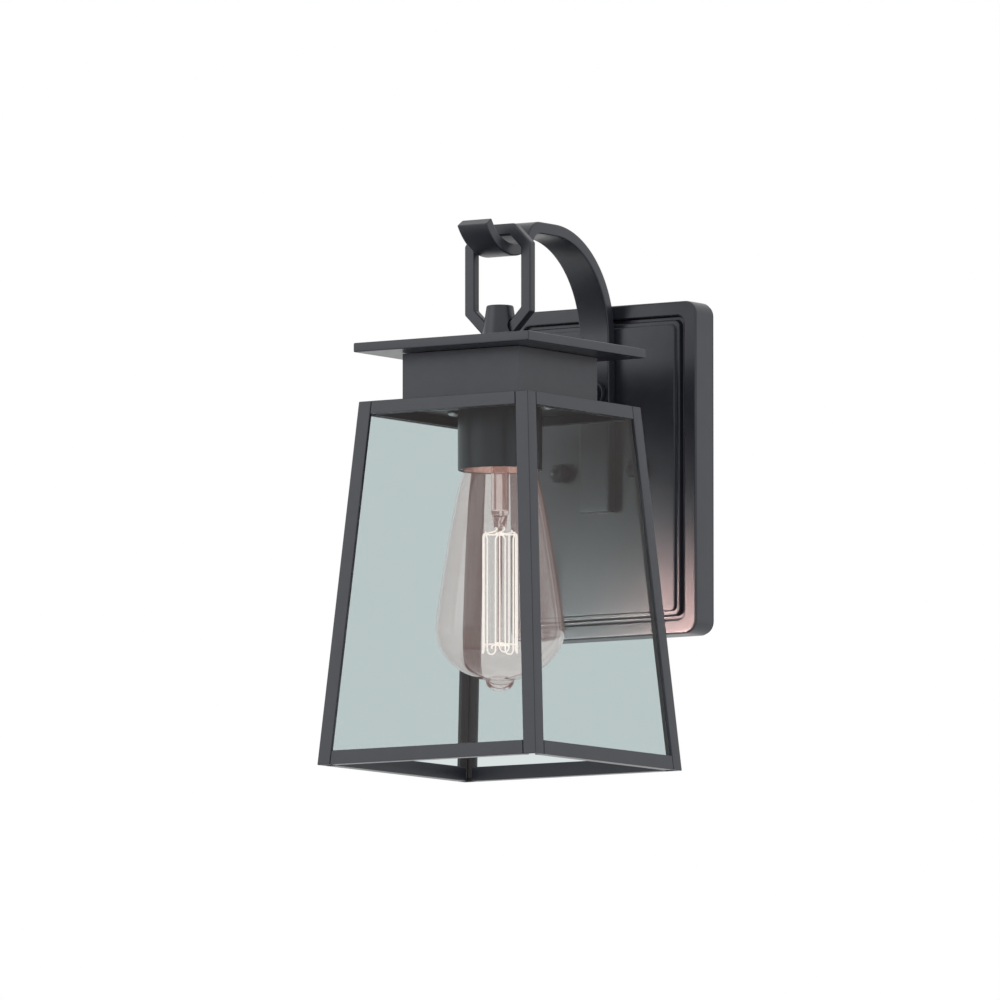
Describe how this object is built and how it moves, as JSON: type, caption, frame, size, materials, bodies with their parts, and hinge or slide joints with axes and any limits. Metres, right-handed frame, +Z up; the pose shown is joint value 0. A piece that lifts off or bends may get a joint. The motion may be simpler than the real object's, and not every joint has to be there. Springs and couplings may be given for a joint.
{
  "type": "outdoor wall lantern",
  "caption": "Tapered four-sided glass lantern with an open bottom and a flat square roof, on a rectangular wall plate, with a hooked flat-bar arm and an octagonal link above.",
  "frame": {"origin": "centre of the wall plate's back, on the wall", "axes": "+Z up; +Y into the wall, so the lantern stands out towards -Y; +X to the right of someone who faces the wall; X = 0 is the plane of symmetry"},
  "size_m": [0.131, 0.1755, 0.2756],
  "materials": {
    "charcoal_paint": "satin charcoal powder coat with a very fine texture",
    "zinc_steel": "zinc plated",
    "black_rubber": "matt",
    "pane_glass": "clear, pale blue-green",
    "bulb_clear_glass": "clear",
    "white_porcelain": "gloss glaze",
    "copper_metal": "bright copper plate",
    "brass_metal": "bright",
    "black_insulator": "vitreous black",
    "filament_wire": "drawn tungsten wire",
    "ground_green": "green dye over zinc",
    "black_insulation": "matt sleeve",
    "white_insulation": "matt sleeve"
  },
  "bodies": {
    "fixture": {"wall_plate": "charcoal_paint", "hook_arm": "charcoal_paint", "wire_tube": "charcoal_paint", "tube_collar": "charcoal_paint", "neck_box": "charcoal_paint", "roof_plate": "charcoal_paint", "loop_stem": "charcoal_paint", "cage_cover": "charcoal_paint", "socket_cup": "charcoal_paint", "corner_post_rear_right": "charcoal_paint", "corner_post_rear_left": "charcoal_paint", "corner_post_front_left": "charcoal_paint", "corner_post_front_right": "charcoal_paint", "bottom_rail_front": "charcoal_paint", "top_rail_front": "charcoal_paint", "bottom_rail_right": "charcoal_paint", "top_rail_right": "charcoal_paint", "bottom_rail_rear": "charcoal_paint", "top_rail_rear": "charcoal_paint", "bottom_rail_left": "charcoal_paint", "top_rail_left": "charcoal_paint", "mounting_bracket": "zinc_steel", "stud_left": "zinc_steel", "stud_right": "zinc_steel", "stud_nut_left": "zinc_steel", "stud_nut_right": "zinc_steel", "arm_screw_lower": "zinc_steel", "arm_screw_upper": "zinc_steel", "tube_locknut_wall": "zinc_steel", "tube_locknut_neck": "zinc_steel", "neck_screw_left": "zinc_steel", "neck_screw_right": "zinc_steel", "stem_nut": "zinc_steel", "holder_screw_rear": "zinc_steel", "holder_screw_front": "zinc_steel", "wall_gasket": "black_rubber", "glass_pane_front": "pane_glass", "glass_pane_right": "pane_glass", "glass_pane_rear": "pane_glass", "glass_pane_left": "pane_glass", "lampholder": "white_porcelain", "socket_ring": "copper_metal", "screw_shell": "copper_metal", "socket_contact": "brass_metal", "ground_screw": "ground_green", "live_lead": "black_insulation", "neutral_lead": "white_insulation"},
    "link": {"hanging_link": "charcoal_paint"},
    "lamp_contact": {"base_contact": "brass_metal"},
    "lamp": {"bulb_glass": "bulb_clear_glass", "bulb_base": "brass_metal", "base_insulator": "black_insulator", "glass_stem": "bulb_clear_glass", "filament": "filament_wire", "filament_spider": "filament_wire"},
    "washer_left": {"cap_washer_left": "black_rubber"},
    "nut_left": {"cap_nut_left": "charcoal_paint"},
    "washer_right": {"cap_washer_right": "black_rubber"},
    "nut_right": {"cap_nut_right": "charcoal_paint"}
  },
  "joints": [
    {"name": "link_rock", "type": "hinge", "parent": "fixture", "child": "link", "pos_m": [0, -0.11, 0.06485], "axis": [1, 0, 0], "range_deg": [-6, 9]},
    {"name": "lamp_travel", "type": "slide", "parent": "fixture", "child": "lamp_contact", "axis": [0, 0, -1], "range_m": [0, 0.0182]},
    {"name": "lamp_turn", "type": "hinge", "parent": "lamp_contact", "child": "lamp", "pos_m": [0, -0.11, 0], "axis": [0, 0, -1], "range_deg": [0, 1800]},
    {"name": "nut_left_travel", "type": "slide", "parent": "fixture", "child": "washer_left", "axis": [0, -1, 0], "range_m": [0, 0.0049]},
    {"name": "nut_left_turn", "type": "hinge", "parent": "washer_left", "child": "nut_left", "pos_m": [-0.023, 0, 0], "axis": [0, -1, 0], "range_deg": [0, 2520]},
    {"name": "nut_right_travel", "type": "slide", "parent": "fixture", "child": "washer_right", "axis": [0, -1, 0], "range_m": [0, 0.0049]},
    {"name": "nut_right_turn", "type": "hinge", "parent": "washer_right", "child": "nut_right", "pos_m": [0.023, 0, 0], "axis": [0, -1, 0], "range_deg": [0, 2520]}
  ],
  "couplings": [
    {"joint": "lamp_travel", "follows": "lamp_turn", "m_per_rad": 0.00057751},
    {"joint": "nut_left_turn", "follows": "nut_left_travel", "rad_per_m": 8976},
    {"joint": "nut_right_turn", "follows": "nut_right_travel", "rad_per_m": 8976}
  ]
}
